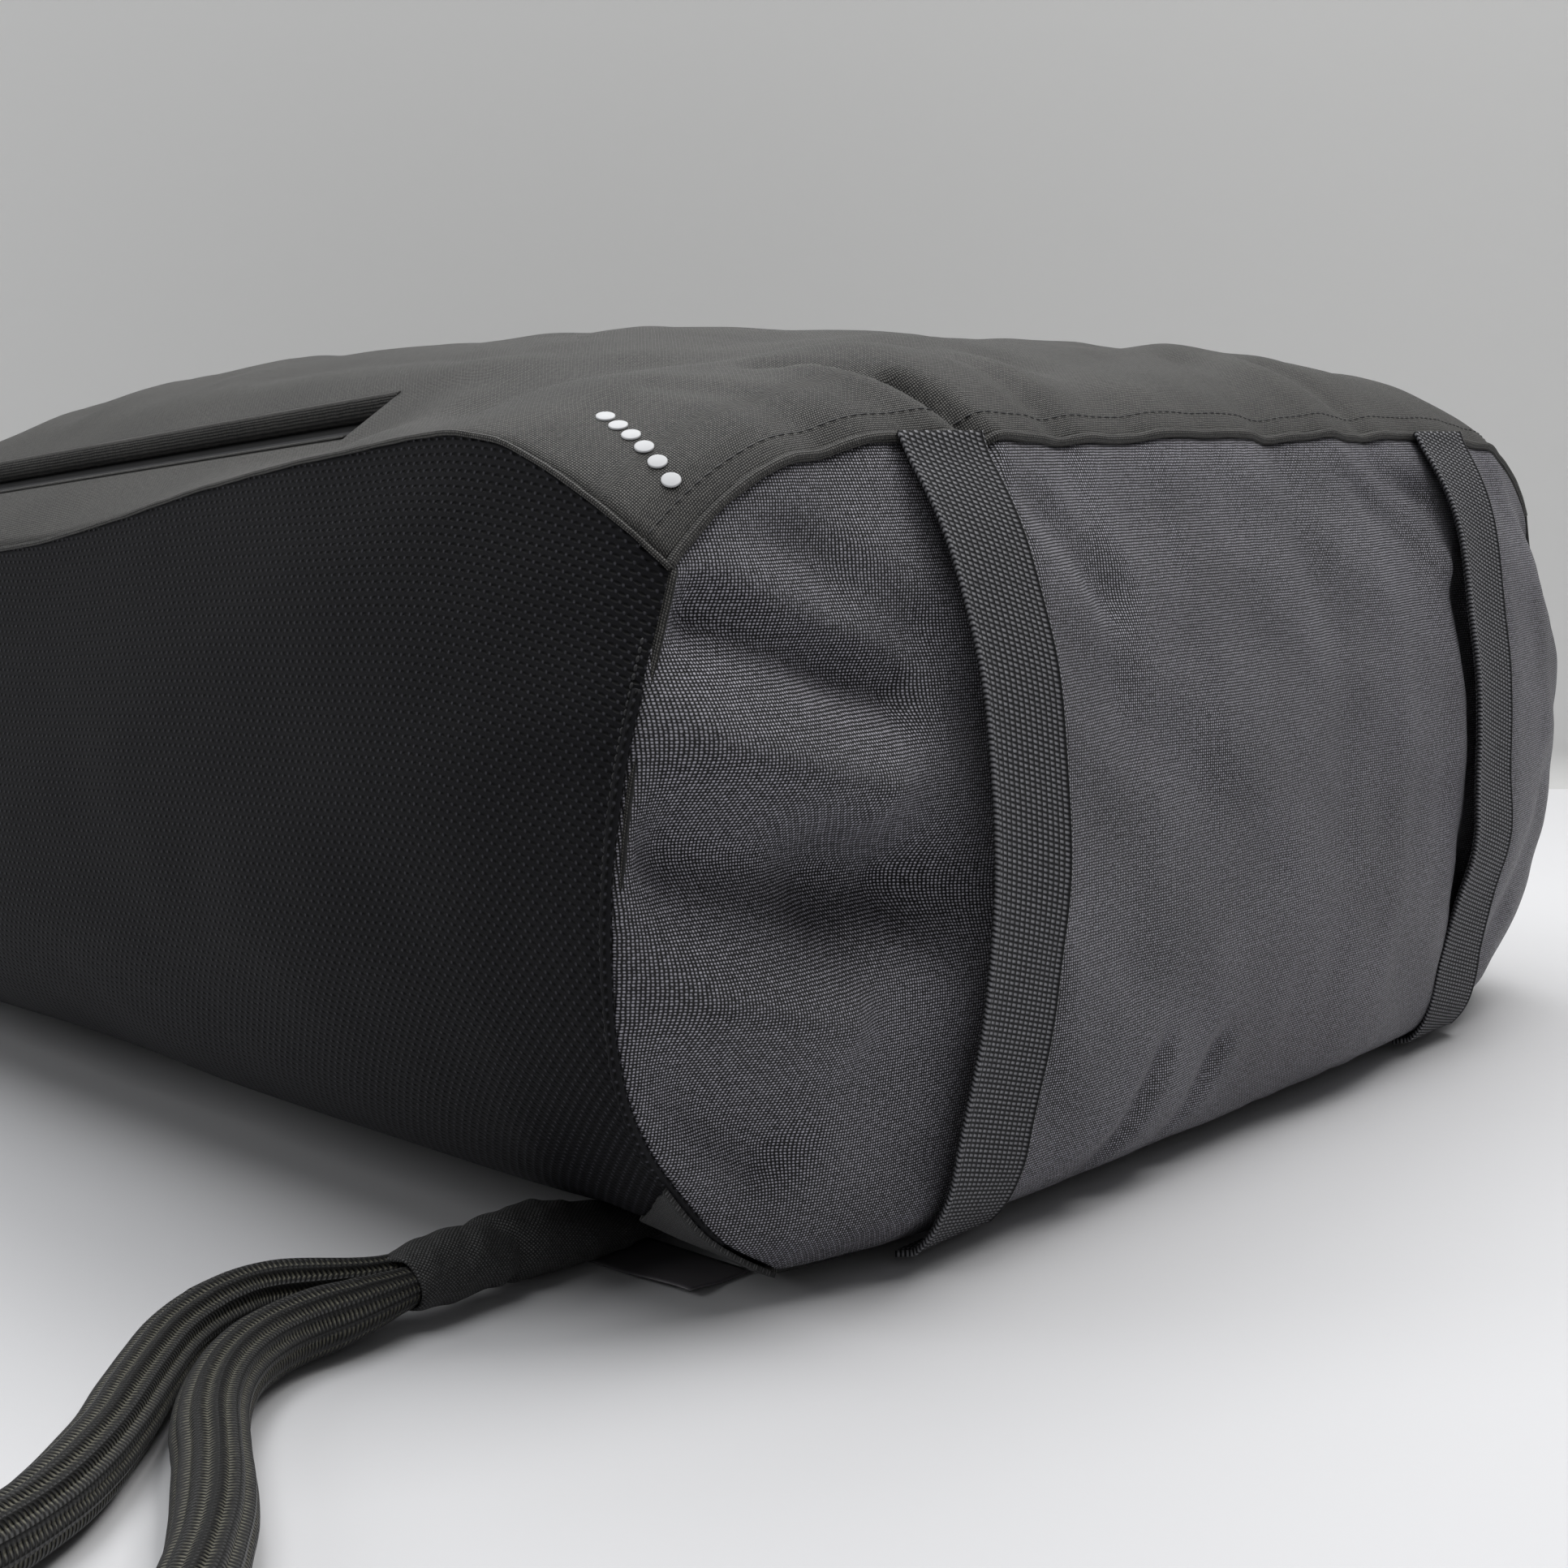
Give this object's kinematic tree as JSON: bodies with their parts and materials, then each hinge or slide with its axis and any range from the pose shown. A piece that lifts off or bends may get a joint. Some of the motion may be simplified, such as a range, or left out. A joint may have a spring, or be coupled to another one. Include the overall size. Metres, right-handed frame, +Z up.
{
  "type": "drawstring bag",
  "caption": "Soft woven drawstring bag lying on its back, with mesh side pockets, elastic straps across its base, a zip pocket and a thick braided drawcord.",
  "frame": {"origin": "middle of the footprint of the bag lying on its back panel, on the surface it lies on", "axes": "+Y from the bottom panel to the mouth, +Z up through the front panel, +X across to the bag's right side pocket"},
  "size_m": [0.5699, 0.5167, 0.176],
  "materials": {
    "woven_polyester": "matte plain weave",
    "front_polyester": "matte fine plain weave",
    "knitted_mesh": "matte open warp knit",
    "elastic_webbing": "ribbed woven elastic",
    "braided_cord": "ribbed tubular braid",
    "lining": "smooth lining taffeta",
    "binding_tape": "plain binding tape",
    "satin_label": "satin ribbon",
    "zip_tape": "woven zip tape",
    "zip_coil": "moulded coil",
    "zip_metal": "black enamelled zinc casting"
  },
  "bodies": {
    "bag": {"front_panel": "front_polyester", "back_panel": "front_polyester", "side_panel_left": "front_polyester", "side_panel_right": "front_polyester", "bottom_panel": "woven_polyester", "elastic_strap_left": "elastic_webbing", "elastic_strap_right": "elastic_webbing", "mesh_pocket_left": "knitted_mesh", "mesh_pocket_right": "knitted_mesh", "pocket_hem_elastic_left": "binding_tape", "pocket_hem_elastic_right": "binding_tape", "corner_gusset_left": "front_polyester", "corner_gusset_right": "front_polyester", "mouth_hem": "front_polyester", "drawcord_in_hem": "braided_cord", "drawcord_strand_upper": "braided_cord", "drawcord_strand_lower": "braided_cord", "drawcord_bight": "braided_cord", "cord_anchor_loop_left": "front_polyester", "cord_anchor_loop_right": "front_polyester", "zip_tape_left": "zip_tape", "zip_tape_right": "zip_tape", "zip_coil_left": "zip_coil", "zip_coil_right": "zip_coil", "zip_end_stops": "zip_metal", "zip_pocket_lining": "lining", "care_label": "satin_label", "bottom_seam_binding": "binding_tape", "front_seam_binding_left": "binding_tape", "front_seam_binding_right": "binding_tape", "back_seam_binding_left": "binding_tape", "back_seam_binding_right": "binding_tape"},
    "zip_slider": {"zip_slider": "zip_metal"},
    "zip_puller": {"zip_puller": "zip_metal"}
  },
  "joints": [
    {"name": "zip_slide", "type": "slide", "parent": "bag", "child": "zip_slider", "axis": [0, -0.9951, 0.0992], "range_m": [0, 0.16]},
    {"name": "puller_hinge", "type": "hinge", "parent": "zip_slider", "child": "zip_puller", "pos_m": [-0.13953, 0.07998, 0.13678], "axis": [-0.8502, -0.0522, -0.5239], "range_deg": [0, 150]}
  ]
}
